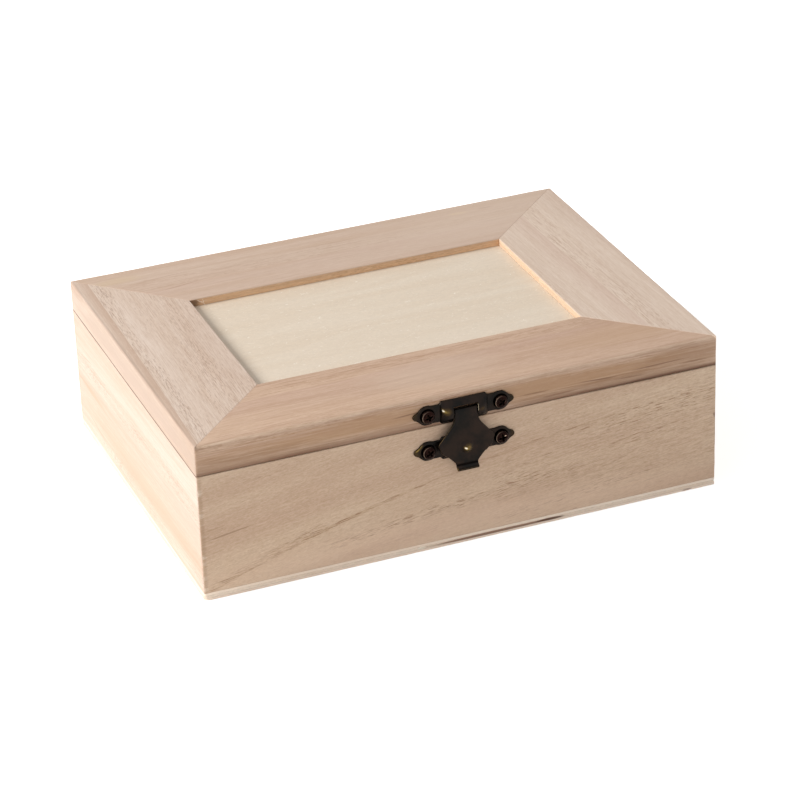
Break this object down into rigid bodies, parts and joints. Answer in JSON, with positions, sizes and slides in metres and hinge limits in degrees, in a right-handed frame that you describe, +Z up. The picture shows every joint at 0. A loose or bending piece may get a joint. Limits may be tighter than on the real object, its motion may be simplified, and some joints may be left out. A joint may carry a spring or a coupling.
{
  "type": "photo storage box",
  "caption": "Low rectangular keepsake box of bare wood with a mitred picture-frame lid, back hinges and a swinging front latch.",
  "frame": {"origin": "middle of the box's underside", "axes": "+X along the front from left to right, -Y out of the front, +Z up"},
  "size_m": [0.2, 0.1558, 0.0615],
  "materials": {
    "paulownia": "bare sanded paulownia with open pores",
    "plywood": "bare pale plywood",
    "antique_brass": "pressed brass, dark antique bronze patina",
    "screw_bronze": "cross-head screws, dark antique bronze"
  },
  "bodies": {
    "box": {"front_wall": "paulownia", "back_wall": "paulownia", "left_wall": "paulownia", "right_wall": "paulownia", "bottom_panel": "plywood", "hinge_left_wall_leaf": "antique_brass", "hinge_right_wall_leaf": "antique_brass", "hinge_left_pin": "antique_brass", "hinge_right_pin": "antique_brass", "hinge_wall_screws": "screw_bronze", "latch_catch": "antique_brass", "latch_wall_screws": "screw_bronze"},
    "lid": {"lid_front_rail": "paulownia", "lid_back_rail": "paulownia", "lid_left_stile": "paulownia", "lid_right_stile": "paulownia", "lid_panel": "plywood", "hinge_left_lid_leaf": "antique_brass", "hinge_right_lid_leaf": "antique_brass", "hinge_lid_screws": "screw_bronze", "latch_barrel": "antique_brass", "latch_lid_screws": "screw_bronze"},
    "tongue": {"latch_tongue": "antique_brass"}
  },
  "joints": [
    {"name": "lid_hinge", "type": "hinge", "parent": "box", "child": "lid", "pos_m": [0, 0.0759, 0.05015], "axis": [-1, 0, 0], "range_deg": [0, 180]},
    {"name": "tongue_hinge", "type": "hinge", "parent": "lid", "child": "tongue", "pos_m": [0, -0.0752, 0.0547], "axis": [-1, 0, 0], "range_deg": [0, 95]}
  ]
}
